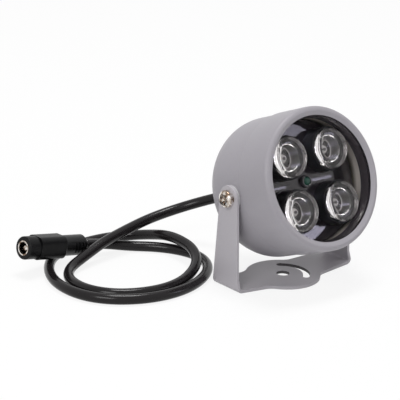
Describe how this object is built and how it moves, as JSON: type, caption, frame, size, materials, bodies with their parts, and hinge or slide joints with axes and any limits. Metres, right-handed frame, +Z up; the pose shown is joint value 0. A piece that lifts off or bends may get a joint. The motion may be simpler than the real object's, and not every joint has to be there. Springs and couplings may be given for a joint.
{
  "type": "infrared illuminator",
  "caption": "Round infrared flood lamp with clear lenses behind flat glass, on a tilting U bracket with a disc foot, and a looped lead with an in-line power socket.",
  "frame": {"origin": "centre of the bracket's fixing hole, on the underside of the foot", "axes": "+Z up from the foot, along the fixing hole; the lamp looks towards -Y and tilts about +X"},
  "size_m": [0.1389, 0.1164, 0.082],
  "materials": {
    "bracket_paint": "satin silver-grey paint on steel sheet",
    "housing_paint": "satin silver-grey paint on die-cast aluminium",
    "metallised_cup": "vacuum-metallised plastic",
    "front_glass": "clear toughened glass",
    "clear_lens": "clear moulded acrylic",
    "black_gloss": "glossy black",
    "black_rubber": "matt black rubber",
    "white_board": "white solder mask",
    "green_board": "green solder mask",
    "green_resin": "tinted clear resin",
    "emitter": "dark resin on a ceramic base",
    "bare_aluminium": "bare, turned",
    "bright_steel": "zinc plated",
    "nickel": "bright nickel plate",
    "brass": "turned brass",
    "ferrite": "dark ferrite",
    "pale_plastic": "natural nylon",
    "black_plastic": "moulded black, slightly grained",
    "cord_sheath": "soft black sheath with a satin sheen",
    "red_wire": "red insulation",
    "black_wire": "black insulation"
  },
  "bodies": {
    "bracket": {"bracket": "bracket_paint", "cable_loops": "cord_sheath", "jack_body": "black_plastic", "jack_sleeve": "nickel", "jack_insulator": "black_plastic", "jack_pin": "nickel"},
    "lamp": {"front_bezel": "housing_paint", "front_glass": "front_glass", "glass_gasket": "black_rubber", "rear_housing": "housing_paint", "seal_ring": "black_rubber", "lens_cup_1": "metallised_cup", "lens_cup_2": "metallised_cup", "lens_cup_3": "metallised_cup", "lens_cup_4": "metallised_cup", "led_lens_1": "clear_lens", "led_lens_2": "clear_lens", "led_lens_3": "clear_lens", "led_lens_4": "clear_lens", "led_chip_1": "emitter", "led_chip_2": "emitter", "led_chip_3": "emitter", "led_chip_4": "emitter", "lens_mask": "black_gloss", "led_board": "white_board", "heat_spreader": "bare_aluminium", "board_screws": "bright_steel", "photosensor": "green_resin", "sensor_collar": "pale_plastic", "driver_board": "green_board", "driver_coil": "ferrite", "driver_capacitor": "bare_aluminium", "driver_chip": "black_plastic", "driver_standoffs": "brass", "pivot_screw_left": "nickel", "pivot_screw_right": "nickel", "friction_washer_left": "pale_plastic", "friction_washer_right": "pale_plastic", "cable_gland": "black_rubber", "cable_lead": "cord_sheath", "supply_wire": "red_wire", "return_wire": "black_wire"}
  },
  "joints": [
    {"name": "lamp_tilt", "type": "hinge", "parent": "bracket", "child": "lamp", "pos_m": [0.0025, 0.0034, 0.0426], "axis": [1, 0, 0], "range_deg": [-37.5, 37.5], "deforming": ["cable_lead"]}
  ]
}
